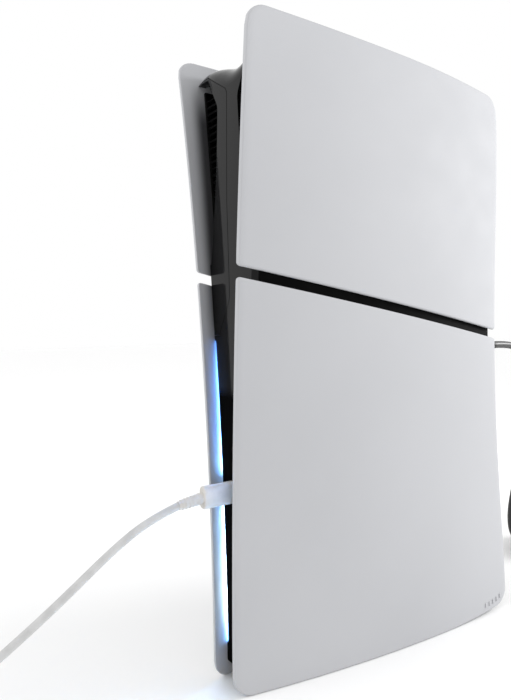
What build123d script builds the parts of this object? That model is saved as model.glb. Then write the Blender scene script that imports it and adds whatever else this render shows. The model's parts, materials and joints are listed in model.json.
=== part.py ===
"""Slim upright game console: four removable side covers, gloss body, fan, heatsink, boards and two cords.

Millimetres, +Z up, front towards -Y. The origin is under the middle of the console, where it stands.
"""

from build123d import *
from math import pi, radians, tan
import os

os.makedirs("parts", exist_ok=True)

# ---------------------------------------------------------------- driving dimensions
HEIGHT = 358.0
DEPTH = 216.0
FRONT = -DEPTH / 2
REAR = DEPTH / 2

# Half width of the covers' outer faces at the bottom, middle and top: front row, middle row, rear row.
HALF_WIDTHS = ((11.2, 17.7, 38.5), (28.9, 32.5, 37.5), (33.3, 29.8, 29.5))

COVER_WALL = 2.5
COVER_CORNER = 11.0
COVER_EDGE_RADIUS = 1.1
STRIPE_FRONT_Z = 233.8
STRIPE_REAR_Z = 195.0
STRIPE_GAP = 5.7

SHELL_INSET = 4.0
SHELL_WALL = 2.0
BODY_FRONT = -97.0
BODY_REAR = 96.0
BODY_BOTTOM = 8.0
BODY_TOP = 340.0
WALL = 3.0
FRONT_WALL = 4.0
FRONT_EDGE_RADIUS = 11.0
TOP_FRONT_END = -85.0
FIT_GAP = 0.15
SEAM_GAP = 0.45
MOVING_GAP = 0.4

FAN_Y = -5.0
FAN_Z = 268.0
FAN_RADIUS = 56.0
FAN_HALF_WIDTH = 16.0
BLADES = 23

BOARD_X = (7.0, 8.6)
CHIP_Y = 10.0
CHIP_Z = 110.0

USB_PORT_Z = (110.25, 132.25)
USB_C_MOUTH = (9.1, 3.36)
USB_C_SHELL = (8.3, 2.5)
USB_C_WALL = 0.3
USB_C_REACH = 6.6
USB_RELIEF_RADII = (2.9, 2.3)
LAN_Z = 184.5
HDMI_Z = 158.0
USB_A_Z = (226.0, 246.0)
INLET_X = -1.0
INLET_Z = 44.0
PORT_FACE = BODY_REAR - 0.5

BUTTON_Z = 46.0
BUTTON_LENGTH = 16.0
BUTTON_WIDTH = 5.6
BUTTON_TRAVEL = 0.6

STAND_Y = 20.0
STAND_THREAD_RADIUS = 2.5
STAND_THREAD_LENGTH = 8.0

USB_CORD_D = 4.0
LAN_CORD_D = 5.5

# Places of the screws that hold the shells to the middle frame, and of the covers' clip tongues, as (y, z).
SHELL_SCREWS = ((-84, 24), (84, 20), (-84, 196), (80, 206), (-78, 328), (84, 328))
UPPER_TONGUES = ((-68, 332), (64, 326), (-78, 246), (72, 232))
LOWER_TONGUES = ((-58, 30), (64, 26), (-74, 186), (66, 184))
TONGUE_Y = 8.0
TONGUE_Z = 1.8
TONGUE_REACH = 9.0

pieces = {}


# ---------------------------------------------------------------- basic shapes
def block(x, y, z):
    """Box between the two ends given along each axis."""
    middle = [(ends[0] + ends[1]) / 2 for ends in (x, y, z)]
    return Pos(*middle) * Box(x[1] - x[0], y[1] - y[0], z[1] - z[0])


def rod_x(x, y, z, radius):
    """Cylinder along X between two ends."""
    return Pos((x[0] + x[1]) / 2, y, z) * Rot(0, 90, 0) * Cylinder(radius, x[1] - x[0])


def rod_y(x, y, z, radius):
    """Cylinder along Y between two ends."""
    return Pos(x, (y[0] + y[1]) / 2, z) * Rot(90, 0, 0) * Cylinder(radius, y[1] - y[0])


def rod_z(x, y, z, radius):
    """Cylinder along Z between two ends."""
    return Pos(x, y, (z[0] + z[1]) / 2) * Cylinder(radius, z[1] - z[0])


def slab_y(sketch, y):
    """Outline drawn in X and Z, as thick as the two ends in Y."""
    plane = Plane(origin=(0, y[0], 0), x_dir=(1, 0, 0), z_dir=(0, -1, 0))
    return extrude(plane * sketch, amount=y[0] - y[1])


def slab_x(sketch, x):
    """Outline drawn in Y and Z, as thick as the two ends in X."""
    plane = Plane(origin=(x[0], 0, 0), x_dir=(0, 1, 0), z_dir=(1, 0, 0))
    return extrude(plane * sketch, amount=x[1] - x[0])


def area(*edges):
    """Face inside a closed chain of edges."""
    return make_face(Curve() + list(edges))


def round_corners(sketch, corners, radius):
    """Round the outline's vertices that lie nearest to the given corners."""
    chosen = [sketch.vertices().sort_by_distance(corner)[0] for corner in corners]
    return fillet(chosen, radius)


def left(shape):
    """The same shape on the other side of the middle plane."""
    return mirror(shape, about=Plane.YZ)


def blend(low, middle, high, t):
    """Quadratic through three values at t = 0, 0.5 and 1."""
    return low * (1 - t) * (1 - 2 * t) + 4 * middle * t * (1 - t) + high * t * (2 * t - 1)


def half_width(y, z):
    """Half the console's width over the covers at a place on its side."""
    rows = [blend(*row, z / HEIGHT) for row in HALF_WIDTHS]
    return blend(*rows, (y - FRONT) / DEPTH)


def side_face(inset):
    """Doubly curved face of the right side, moved towards the middle by inset. It runs past every edge."""
    margin = 6.0
    ys = (FRONT - margin, 0.0, REAR + margin)
    zs = (-margin, HEIGHT / 2, HEIGHT + margin)
    grid = [[half_width(y, z) - inset for z in zs] for y in ys]
    for row in grid:
        row[1] = 2 * row[1] - (row[0] + row[2]) / 2
    grid[1] = [2 * b - (a + c) / 2 for a, b, c in zip(*grid)]
    points = [[(grid[i][j], ys[i], zs[j]) for j in range(3)] for i in range(3)]
    return Face.make_bezier_surface(points)


def side_skin(outer, inner):
    """Curved plate of the right side between two insets."""
    return Part() + Solid.extrude(side_face(outer), Vector(outer - inner, 0, 0))


def core(inset):
    """Everything between the two curved sides."""
    reach = 92.0
    right = Part() + Solid.extrude(side_face(inset), Vector(-reach, 0, 0))
    return right & left(right)


# ---------------------------------------------------------------- covers
def stripe_z(y):
    """Height of the upper covers' lower edge."""
    return STRIPE_FRONT_Z + (STRIPE_REAR_Z - STRIPE_FRONT_Z) * (y - FRONT) / DEPTH


def cover_outline():
    """Outline of a whole side in Y and Z, with the bottom edge flat from the front to past the middle."""
    bottom_front = (-106.2, 0)
    top_front = (FRONT, HEIGHT)
    top_rear = (100.0, 354.4)
    bottom_rear = (REAR, 4.0)
    front = Spline(bottom_front, (-105.7, HEIGHT / 2), top_front)
    top = Line(top_front, (0, HEIGHT))
    top_fall = TangentArc((0, HEIGHT), top_rear, tangent=(1, 0))
    rear = Spline(top_rear, (98.8, 200), (101, 120), (105.5, 60), bottom_rear)
    bottom_rise = TangentArc((40, 0), bottom_rear, tangent=(1, 0))
    bottom = Line((40, 0), bottom_front)
    outline = area(front, top, top_fall, rear, bottom_rise, bottom)
    return round_corners(outline, (bottom_front, top_front, top_rear, bottom_rear), COVER_CORNER)


def band(z_front, z_rear, to_z):
    """Region in Y and Z on one side of a slanted line."""
    far = 140.0
    slope = (z_rear - z_front) / DEPTH
    low = z_front + slope * (-far - FRONT)
    high = z_front + slope * (far - FRONT)
    return make_face(Polyline((-far, low), (far, high), (far, to_z), (-far, to_z), close=True))


def tongue(y, z, grow=0.0):
    """Clip tongue on a cover's inner face. Grown, it is the slot that takes it."""
    root = half_width(y, z) - 1.6
    tip = half_width(y, z) - TONGUE_REACH
    wide = TONGUE_Y / 2 + grow
    high = TONGUE_Z / 2 + grow
    return block((tip - grow, root), (y - wide, y + wide), (z - high, z + high))


def cover(region, corners, tongues):
    """Right-hand cover: a curved plate with rounded edges and four clip tongues."""
    outline = round_corners(cover_outline() & region, corners, 2.0)
    plate = side_skin(0, COVER_WALL) & slab_x(outline, (-5, 60))
    curved_faces = plate.faces().sort_by(SortBy.AREA)[-2:]
    outer_face = curved_faces.sort_by(Axis.X)[-1]
    plate = fillet(outer_face.edges(), COVER_EDGE_RADIUS)
    for y, z in tongues:
        plate += tongue(y, z)
    return plate


upper_region = band(STRIPE_FRONT_Z, STRIPE_REAR_Z, HEIGHT + 20)
lower_region = band(STRIPE_FRONT_Z - STRIPE_GAP, STRIPE_REAR_Z - STRIPE_GAP, -20)
upper_corners = ((FRONT, stripe_z(FRONT)), (99, stripe_z(99)))
lower_corners = ((FRONT, stripe_z(FRONT) - STRIPE_GAP), (99, stripe_z(99) - STRIPE_GAP))
pieces["cover_upper_right"] = cover(upper_region, upper_corners, UPPER_TONGUES)
pieces["cover_lower_right"] = cover(lower_region, lower_corners, LOWER_TONGUES)
pieces["cover_upper_left"] = left(pieces["cover_upper_right"])
pieces["cover_lower_left"] = left(pieces["cover_lower_right"])


# ---------------------------------------------------------------- gloss front, with its bezels and intakes
def top_profile():
    """Body seen from the front: its top dips in the middle and rises towards each cover."""
    left_rise = ((-60, 347), (-36, 349.5), (-27, 351), (-15, 349), (-6, 346))
    right_rise = ((5, 343.6), (17, 346.4), (31, 350.6), (60, 347))
    top = Spline(*left_rise, *right_rise)
    return area(top, Polyline((60, 347), (60, BODY_BOTTOM), (-60, BODY_BOTTOM), (-60, 347)))


def front_block(drop, y_front, radius):
    """Front of the body with its rounded top edge, lowered by drop at the top."""
    solid = slab_y(top_profile(), (y_front, TOP_FRONT_END))
    solid = Pos(0, 0, -drop) * solid
    front_face = solid.faces().sort_by(Axis.Y)[0]
    top_edge = front_face.edges().sort_by(Axis.Z)[-1]
    return fillet(top_edge, radius)


def recess(side, grow=0.0):
    """Air intake beside one cover: a long wedge in X and Z that ends in a point low down."""
    tip = (20.6 - grow, 238)
    bend = (10.3 - grow, 325)
    crest = (21, 343 + grow)
    end = (60, 346 + grow)
    curve = ThreePointArc(tip, (13.5 - grow, 284.6), bend)
    outline = area(curve, Polyline(bend, crest, end, (60, 238), tip))
    outline = round_corners(outline, (bend,), 8.0)
    outline = round_corners(outline, (crest,), 3.0)
    return outline if side > 0 else mirror(outline, about=Plane.YZ)


def leaf(grow):
    """Left bezel in X and Z: it narrows to a point on the cover, below the intake."""
    top = (-22, 344.5 + grow)
    corner = (-0.4 + grow, 331)
    waist = (-2.4 + grow, 271)
    low = (-1.2 + grow, 217.5)
    tip = (-13, 197.6 - grow)
    far = (-60, 196 - grow)
    outline = area(Polyline(top, corner, waist, low, tip, far, (-60, 344.5 + grow), top))
    outline = round_corners(outline, (corner,), 5.0)
    return round_corners(outline, (low,), 11.0)


def pill(length, width):
    """Upright slot outline in X and Z, centred on the origin."""
    return Rot(0, 0, 90) * SlotOverall(length, width)


side_room = core(COVER_WALL + 0.4)
front_outer = front_block(0, BODY_FRONT, FRONT_EDGE_RADIUS)
front_inner = front_block(FRONT_WALL, BODY_FRONT + FRONT_WALL, FRONT_EDGE_RADIUS - FRONT_WALL)
front_shell = (front_outer - front_inner) & side_room
through = (BODY_FRONT - 5, TOP_FRONT_END + 1)

# The light guides lie in a step along both edges of the lower front.
GUIDE_Z = (20.0, 194.0)
GUIDE_Y = (-95.6, BODY_FRONT + FRONT_WALL)
guide_zone = block((-60, 60), GUIDE_Y, GUIDE_Z) - core(SHELL_INSET)
guides = (guide_zone & side_room).solids().sort_by(Axis.X)
pieces["light_guide_left"] = guides[0]
pieces["light_guide_right"] = guides[-1]
guide_step = block((-60, 60), (BODY_FRONT - 1, GUIDE_Y[1] + 1), (GUIDE_Z[0] - 0.2, GUIDE_Z[1] + 0.2))
guide_step -= core(SHELL_INSET + FIT_GAP)

front_strip = front_shell - slab_y(leaf(SEAM_GAP), through)
for side in (-1, 1):
    front_strip -= slab_y(recess(side), through)
front_strip -= guide_step
button_slot = pill(BUTTON_LENGTH + 2 * MOVING_GAP, BUTTON_WIDTH + 2 * MOVING_GAP)
button_hole = slab_y(Pos(0, BUTTON_Z) * button_slot, through)
front_strip -= button_hole
for z in USB_PORT_Z:
    front_strip -= slab_y(Pos(0, z) * pill(9.4, 3.7), through)
front_strip = front_strip.solids().sort_by(SortBy.VOLUME)[-1]
bottom_edges = front_strip.edges().filter_by_position(Axis.Z, BODY_BOTTOM - 0.1, BODY_BOTTOM + 0.1)
pieces["front_strip"] = fillet(bottom_edges.sort_by(Axis.Y)[0], 2.0)
bezel = (front_shell & slab_y(leaf(0), through)) - slab_y(recess(-1), through)
bezel -= guide_step
pieces["intake_bezel_left"] = bezel.solids().sort_by(SortBy.VOLUME)[-1]


def intake_grille(side):
    """Black fins behind one intake, on a back plate."""
    zone = (BODY_FRONT + FRONT_WALL + 0.1, BODY_FRONT + FRONT_WALL + 7.0)
    room = slab_y(recess(side, 1.5), zone) & core(SHELL_INSET + SHELL_WALL + 0.3)
    room &= block((-60, 60), (-100, -80), (240, 334))
    back = block((-60, 60), (zone[1] - 1.2, zone[1]), (230, 350))
    fins = back
    count = 24
    pitch = 4.0
    for i in range(count):
        z = 242.0 + i * pitch
        fins += block((-60, 60), zone, (z - 0.6, z + 0.6))
    return (fins & room).solids().sort_by(SortBy.VOLUME)[-1]


pieces["intake_grille_right"] = intake_grille(1)
pieces["intake_grille_left"] = intake_grille(-1)

# ---------------------------------------------------------------- shells, top, bottom and rear
def fan_vents():
    """Rings of slots over the fan, with six plain spokes between them."""
    rings = Sketch()
    for i in range(6):
        inner = 14.0 + 5.4 * i
        rings += Circle(inner + 3.4) - Circle(inner)
    for turn in range(0, 180, 60):
        rings -= Rot(0, 0, turn) * Rectangle(100, 3.2)
    return Pos(0, FAN_Y, FAN_Z) * slab_x(rings, (0, 60))


shell_zone = block((1.0, 60), (BODY_FRONT + FRONT_WALL + 0.1, BODY_REAR - WALL - 0.1),
                   (BODY_BOTTOM + WALL + 0.1, BODY_TOP - 0.1))
shell = side_skin(SHELL_INSET, SHELL_INSET + SHELL_WALL) & shell_zone
shell -= fan_vents()
for y, z in UPPER_TONGUES + LOWER_TONGUES:
    shell -= tongue(y, z, 0.5)
for y, z in SHELL_SCREWS:
    surface = half_width(y, z) - SHELL_INSET
    shell -= rod_x((0, 60), y, z, 1.6)
    shell -= rod_x((surface - 1.2, 60), y, z, 3.3)

BAY_Y = (-66.0, -34.0)
BAY_Z = (56.0, 150.0)
bay_window = block((0, 60), (BAY_Y[0] + 2.5, BAY_Y[1] - 2.5), (BAY_Z[0] + 2.5, BAY_Z[1] - 2.5))
pieces["shell_right"] = shell
pieces["shell_left"] = left(shell - bay_window)

BAY_SCREW = (-50.0, 152.5)
bay_cover = side_skin(SHELL_INSET - 1.0, SHELL_INSET - 0.1)
bay_cover &= slab_x(Pos(-50, 105) * RectangleRounded(36, 102, 4), (0, 60))
bay_head_x = half_width(*BAY_SCREW) - SHELL_INSET
bay_cover -= rod_x((0, 60), *BAY_SCREW, 2.5)
pieces["m2_bay_cover"] = left(bay_cover)
bay_screw = rod_x((bay_head_x + 0.4, bay_head_x + 0.9), *BAY_SCREW, 2.2)
bay_screw += rod_x((bay_head_x - 1.9, bay_head_x + 0.4), *BAY_SCREW, 1.45)
pieces["m2_bay_screw"] = left(bay_screw)
pieces["shell_left"] -= left(rod_x((0, 60), *BAY_SCREW, 1.5))

inside_sides = core(SHELL_INSET + FIT_GAP)
top_outer = slab_y(top_profile(), (TOP_FRONT_END + 0.1, BODY_REAR))
top_outer &= block((-60, 60), (-99, 99), (BODY_TOP, 360))
top_cap = top_outer & inside_sides
top_hollow = Pos(0, 0, -WALL) * slab_y(top_profile(), (TOP_FRONT_END + 3, BODY_REAR - WALL))
top_cap -= top_hollow & core(SHELL_INSET + SHELL_WALL + FIT_GAP)
rear_top_edges = top_cap.edges().filter_by_position(Axis.Y, BODY_REAR - 0.1, BODY_REAR + 0.1).sort_by(Axis.Z)
top_cap = fillet(rear_top_edges[-1], 2.0)
SLOT_PITCH = 6.0
for i in range(27):
    y = -76.0 + i * SLOT_PITCH
    for side in (-1, 1):
        inner_end = half_width(y, BODY_TOP) - 16.0
        outer_end = half_width(y, BODY_TOP) - SHELL_INSET - SHELL_WALL - 1.0
        slot = block((inner_end, outer_end), (y - 1.6, y + 1.6), (BODY_TOP - 1, 360))
        top_cap -= slot if side > 0 else left(slot)
pieces["top_cap"] = top_cap

stand_boss = rod_z(0, STAND_Y, (BODY_BOTTOM, BODY_BOTTOM + 10), 7.0)
bottom = block((-60, 60), (BODY_FRONT + FRONT_WALL + 0.1, BODY_REAR), (BODY_BOTTOM, BODY_BOTTOM + WALL))
bottom = (bottom & inside_sides) + stand_boss
bottom -= rod_z(0, STAND_Y, (0, 30), 4.0)
pieces["bottom_plate"] = bottom
insert = rod_z(0, STAND_Y, (BODY_BOTTOM, BODY_BOTTOM + STAND_THREAD_LENGTH), 4.0)
insert -= rod_z(0, STAND_Y, (0, 30), STAND_THREAD_RADIUS)
pieces["stand_insert"] = insert

rear_zone = block((-60, 60), (BODY_REAR - WALL, BODY_REAR), (BODY_BOTTOM + WALL + 0.1, BODY_TOP - 0.1))
rear_wall = rear_zone & inside_sides
PORT_STRIP_HALF = 11.0
PORT_STRIP_X = -1.0
PORT_STRIP_Z = (24.0, 264.0)
strip_x = (PORT_STRIP_X - PORT_STRIP_HALF, PORT_STRIP_X + PORT_STRIP_HALF)
strip = block(strip_x, (BODY_REAR - WALL, BODY_REAR), PORT_STRIP_Z)
strip_hole = block((strip_x[0] - FIT_GAP, strip_x[1] + FIT_GAP), (0, 120),
                   (PORT_STRIP_Z[0] - FIT_GAP, PORT_STRIP_Z[1] + FIT_GAP))
# Mouths in the port strip as (x, z, size in X, size in Z).
mouths = [(0, LAN_Z, 13.9, 16.4), (0, HDMI_Z, 7.0, 16.6), (INLET_X, INLET_Z, 14.4, 22.4)]
mouths += [(0, z, 8.0, 14.6) for z in USB_A_Z]
for x, z, wide, high in mouths:
    strip -= block((x - wide / 2, x + wide / 2), (0, 120), (z - high / 2, z + high / 2))
pieces["rear_port_panel"] = strip
grille = rear_wall - strip_hole
VENT_PITCH = 5.2
for i in range(61):
    z = 19.0 + i * VENT_PITCH
    reach = min(half_width(BODY_REAR, z) - SHELL_INSET - 3.0, 25.0)
    inner_end = 14.0 if z < PORT_STRIP_Z[1] + 3 else 2.0
    slot = block((inner_end, reach), (0, 120), (z - 1.3, z + 1.3))
    grille -= slot
    grille -= left(slot)
pieces["rear_vent_grille"] = grille

# ---------------------------------------------------------------- middle frame with its screw bosses
def drill(shape, places, radius, x=(-60, 60)):
    """Holes along X through a shape at places given as (y, z)."""
    for y, z in places:
        shape -= rod_x(x, y, z, radius)
    return shape


frame_plate = block((-1.5, 0), (-88, 88), (14, 336.5))
frame_plate -= rod_x((-9, 9), FAN_Y, FAN_Z, FAN_RADIUS + 9)
frame_plate -= block((-9, 9), (72, 99), (28, 198))
frame_plate -= block((-9, 9), (72, 99), (214, 262))
frame_plate -= block((-9, 9), (-99, -70), (30, 186))
frame_plate -= block((-9, 9), (-52, 61), (182, FAN_Z))
frame_plate -= block((-9, 9), (STAND_Y - 8, STAND_Y + 8), (0, 20))
mid_frame = frame_plate
screws = Part()
for y, z in SHELL_SCREWS:
    seat = half_width(y, z) - SHELL_INSET - SHELL_WALL - 0.7
    post = block((-seat, seat), (y - 3.2, y + 3.2), (z - 3.2, z + 3.2))
    hole = rod_x((seat - 7.2, seat + 1), y, z, 1.3)
    post -= hole
    post -= left(hole)
    mid_frame += post
    head = rod_x((seat + 1.6, seat + 2.5), y, z, 2.9)
    screw = head + rod_x((seat - 7, seat + 1.7), y, z, 1.25)
    screws += [screw, left(screw)]
board_posts = ((-60, 40), (-60, 186), (60, 40), (54, 176), (-30, 60))
for y, z in board_posts:
    mid_frame += block((0, BOARD_X[0]), (y - 2.6, y + 2.6), (z - 2.6, z + 2.6))
mid_frame = drill(mid_frame, board_posts, 1.05, (-3, 9))
pieces["mid_frame"] = mid_frame
pieces["shell_screws"] = screws

# ---------------------------------------------------------------- main board and what is on it
board = block(BOARD_X, (-68, 74), (32, 196)) + block(BOARD_X, (60, 90), (140, 256))
board = drill(board, board_posts, 1.2)
board -= block((-9, 9), (76, 84), (202, 210))
pieces["main_board"] = board

board_screws = Part()
for y, z in board_posts:
    board_screws += rod_x((BOARD_X[1], BOARD_X[1] + 1.2), y, z, 2.2) + rod_x((1.0, BOARD_X[1]), y, z, 1.0)
pieces["board_screws"] = board_screws

chip_x = (BOARD_X[1], BOARD_X[1] + 1.0)
package = block(chip_x, (CHIP_Y - 21, CHIP_Y + 21), (CHIP_Z - 21, CHIP_Z + 21))
package += block((chip_x[1], chip_x[1] + 0.8), (CHIP_Y - 10, CHIP_Y + 10), (CHIP_Z - 12, CHIP_Z + 12))
pieces["processor_package"] = package

memory = Part()
for side in (-1, 1):
    for row in (-1.5, -0.5, 0.5, 1.5):
        y = CHIP_Y + side * 32
        z = CHIP_Z + row * 17
        memory += block((BOARD_X[1], BOARD_X[1] + 1.1), (y - 6, y + 6), (z - 7, z + 7))
pieces["memory_chips"] = memory

storage = Part()
for y, z in ((-40, 160), (-20, 160), (-40, 134), (-20, 134)):
    storage += block((BOARD_X[0] - 1.1, BOARD_X[0]), (y - 7, y + 7), (z - 9, z + 9))
pieces["storage_chips"] = storage

CELL_Y = 30.0
CELL_Z = 52.0
cell = rod_x((BOARD_X[0] - 4.6, BOARD_X[0] - 1.4), CELL_Y, CELL_Z, 10.0)
holder = rod_x((BOARD_X[0] - 3.2, BOARD_X[0]), CELL_Y, CELL_Z, 11.8)
holder -= rod_x((BOARD_X[0] - 9, BOARD_X[0] - 1.4), CELL_Y, CELL_Z, 10.1)
pieces["coin_cell"] = cell
pieces["coin_cell_holder"] = holder

# Heat spreader, pipes and fins on the processor.
base_x = (chip_x[1] + 0.8, chip_x[1] + 3.8)
spreader = block(base_x, (CHIP_Y - 34, CHIP_Y + 34), (CHIP_Z - 30, CHIP_Z + 30))
PIPE_RADIUS = 2.6
pipe_x = base_x[1] + PIPE_RADIUS
pipes = Part()
for step in (-1.5, -0.5, 0.5, 1.5):
    z = CHIP_Z + step * 12
    pipes += rod_y(pipe_x, (CHIP_Y - 30, 74), z, PIPE_RADIUS)
    spreader -= rod_y(pipe_x, (-99, 99), z, PIPE_RADIUS + 0.05)
pieces["heatsink_base"] = spreader
pieces["heat_pipes"] = pipes
fins = block((base_x[1] + 6.0, base_x[1] + 6.8), (2, 76), (58, 192))
fins_x = (base_x[1] + 0.3, base_x[1] + 6.0)
FIN_COUNT = 34
FIN_PITCH = 4.0
for i in range(FIN_COUNT):
    z = 58.3 + i * FIN_PITCH
    fins += block((fins_x[0], fins_x[1] + 0.1), (2, 76), (z, z + 0.5))
for step in (-1.5, -0.5, 0.5, 1.5):
    fins -= rod_y(pipe_x, (-99, 99), CHIP_Z + step * 12, PIPE_RADIUS + 0.05)
pieces["heatsink_fins"] = max(fins.solids(), key=lambda solid: solid.volume)

shield = block((BOARD_X[0] - 6.0, BOARD_X[0] - 5.4), (-52, 50), (70, 176))
rim = block((BOARD_X[0] - 6.0, BOARD_X[0]), (-52, 50), (70, 176))
rim -= block((0, 9), (-51.4, 49.4), (70.6, 175.4))
shield += rim
shield -= block((0, 9), (40, 60), (160, 180))
pieces["board_shield"] = shield

# ---------------------------------------------------------------- power supply and fan
supply = block((-22, -3), (2, 73), (30, 152))
supply = fillet(supply.edges().filter_by(Axis.X), 3.0)
supply_inner = block((-20.8, -4.2), (3.2, 71.8), (31.2, 150.8))
supply -= supply_inner
for i in range(9):
    z = 56 + i * 8
    supply -= block((-30, -20), (14, 60), (z - 1.5, z + 1.5))
pieces["power_supply"] = supply

wall_outer = FAN_RADIUS + 8
fan_x = (-FAN_HALF_WIDTH - 3, FAN_HALF_WIDTH + 3)
housing = rod_x(fan_x, FAN_Y, FAN_Z, wall_outer)
housing += block(fan_x, (FAN_Y, FAN_Y + wall_outer), (206, FAN_Z))
cavity_x = (fan_x[0] + 1.5, fan_x[1] - 1.5)
housing -= rod_x(cavity_x, FAN_Y, FAN_Z, wall_outer - 2)
housing -= block(cavity_x, (FAN_Y + 2, FAN_Y + wall_outer - 2), (200, FAN_Z))
housing -= rod_x((0, 30), FAN_Y, FAN_Z, 40.0)
motor_plate = rod_x((fan_x[0], cavity_x[0]), FAN_Y, FAN_Z, 17.0)
housing -= rod_x((-30, 0), FAN_Y, FAN_Z, 40.0)
housing += motor_plate
for turn in (30, 150, 270):
    arm = block((fan_x[0], cavity_x[0]), (16, 41), (-2.5, 2.5))
    housing += Pos(0, FAN_Y, FAN_Z) * Rot(turn, 0, 0) * arm
housing -= rod_x((-30, 0), FAN_Y, FAN_Z, 2.0)
pieces["fan_housing"] = housing

SHAFT_RADIUS = 2.0
motor = rod_x((cavity_x[0], cavity_x[0] + 6), FAN_Y, FAN_Z, 13.0)
motor += rod_x((fan_x[0], FAN_HALF_WIDTH - 6), FAN_Y, FAN_Z, SHAFT_RADIUS)
pieces["fan_motor"] = motor

rotor_x = (-FAN_HALF_WIDTH + 1.5, FAN_HALF_WIDTH - 1.5)
hub = rod_x((rotor_x[0] + 1.5, FAN_HALF_WIDTH - 4), FAN_Y, FAN_Z, 20.0)
hub = fillet(hub.edges().sort_by(Axis.X)[-1], 2.0)
hub -= rod_x((rotor_x[0], cavity_x[0] + 7.5), FAN_Y, FAN_Z, 15.0)
disc = rod_x((-1.0, 1.0), FAN_Y, FAN_Z, FAN_RADIUS - 1)
disc -= rod_x((-5, 5), FAN_Y, FAN_Z, 19.0)
rotor = hub + disc
blade = block(rotor_x, (36, FAN_RADIUS), (-0.6, 0.6))
for i in range(BLADES):
    spoke = Pos(0, FAN_Y, FAN_Z) * Rot(360 * i / BLADES, 0, 0) * Pos(0, 0, -14) * Rot(16, 0, 0) * blade
    rotor += spoke
rotor &= rod_x((-40, 40), FAN_Y, FAN_Z, FAN_RADIUS)
rotor -= rod_x((-40, FAN_HALF_WIDTH - 5.5), FAN_Y, FAN_Z, SHAFT_RADIUS + 0.05)
pieces["fan_rotor"] = rotor

# ---------------------------------------------------------------- storage bay, speaker and aerials
tray = block((-9, -1.5), BAY_Y, BAY_Z)
tray -= block((-10, -3), (BAY_Y[0] + 1.2, BAY_Y[1] - 1.2), (BAY_Z[0] + 1.2, BAY_Z[1] - 1.2))
pieces["m2_tray"] = tray
socket = block((-8, -3), (-61, -39), (BAY_Z[0] + 1.2, BAY_Z[0] + 7.2))
socket -= block((-6.6, -5.6), (-60, -40), (BAY_Z[0] + 3, BAY_Z[0] + 9))
pieces["m2_connector"] = socket
speaker = block((-12, -1.5), (-66, -46), (190, 204)) - rod_x((-13, -10), -56, 197, 5.5)
pieces["speaker"] = speaker
top_aerial = block((-14, 14), (20, 60), (337, 338.4))
front_aerial = block((1, 15), (-74, -58), (210, 211.4))
pieces["wifi_aerials"] = top_aerial + front_aerial

# ---------------------------------------------------------------- front ports and power button
pieces["front_board"] = block((1.7, 2.9), (-88, -71), (34, 150))
button_y = (BODY_FRONT - 0.6, BODY_FRONT + FRONT_WALL - 0.4)
button_cap = slab_y(Pos(0, BUTTON_Z) * pill(BUTTON_LENGTH, BUTTON_WIDTH), button_y)
button_cap = fillet(button_cap.faces().sort_by(Axis.Y)[0].edges(), 0.5)
pusher_end = BODY_FRONT + FRONT_WALL + 1.2
button_cap += block((-1.5, 1.5), (BODY_FRONT + 3, pusher_end), (BUTTON_Z - 3, BUTTON_Z + 3))
pieces["power_button"] = button_cap
switch_front = pusher_end + BUTTON_TRAVEL + 0.3
switch = block((-2, 1.7), (switch_front + 0.8, -84), (BUTTON_Z - 3, BUTTON_Z + 3))
switch += rod_y(-0.2, (switch_front, switch_front + 1), BUTTON_Z, 1.3)
pieces["button_switch"] = switch


def usb_c_shell(z, y, size, wall):
    """Metal tube of a small round-ended connector, as (length in Z, width in X)."""
    outer = slab_y(Pos(0, z) * pill(*size), y)
    inner = slab_y(Pos(0, z) * pill(size[0] - 2 * wall, size[1] - 2 * wall), y)
    return outer - inner


usb_ports = Part()
PORT_Y = (BODY_FRONT + 0.4, BODY_FRONT + 8.2)
for z in USB_PORT_Z:
    port = usb_c_shell(z, PORT_Y, USB_C_MOUTH, USB_C_WALL)
    port += slab_y(Pos(0, z) * pill(*USB_C_MOUTH), (PORT_Y[1], PORT_Y[1] + 1))
    port += block((-0.35, 0.35), (PORT_Y[0] + 2, PORT_Y[1] + 0.5), (z - 3.2, z + 3.2))
    port += block((1.2, 1.7), (PORT_Y[1] - 1, PORT_Y[1] + 1), (z - 4, z + 4))
    usb_ports += port
pieces["usb_c_ports"] = usb_ports

# ---------------------------------------------------------------- rear ports
def socket_shell(x, z, wide, high, depth, wall):
    """Open box of a port, wide in X and high in Z, with its mouth at the rear."""
    outer = block((x - wide / 2, x + wide / 2), (PORT_FACE - depth, PORT_FACE), (z - high / 2, z + high / 2))
    inner = block((x - wide / 2 + wall, x + wide / 2 - wall), (PORT_FACE - depth + 1, PORT_FACE + 1),
                  (z - high / 2 + wall, z + high / 2 - wall))
    return outer - inner


pieces["lan_port"] = socket_shell(0, LAN_Z, 13.6, 16.0, 20, 1.2)
pieces["hdmi_port"] = socket_shell(0, HDMI_Z, 6.6, 16.2, 12, 0.8)
pieces["hdmi_port"] += block((-0.6, 0.6), (PORT_FACE - 11.2, PORT_FACE - 2.5), (HDMI_Z - 5.5, HDMI_Z + 5.5))
usb_a = Part()
for z in USB_A_Z:
    port = socket_shell(0, z, 7.6, 14.2, 14, 0.6)
    port += block((0.4, 2.2), (PORT_FACE - 13.2, PORT_FACE - 1.5), (z - 5.6, z + 5.6))
    usb_a += port
pieces["usb_a_ports"] = usb_a
inlet = socket_shell(INLET_X, INLET_Z, 14.0, 22.0, 18, 1.6)
for step in (-1, 1):
    inlet += rod_y(INLET_X, (PORT_FACE - 17.5, PORT_FACE - 4), INLET_Z + 4.3 * step, 1.2)
pieces["ac_inlet"] = inlet


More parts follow.
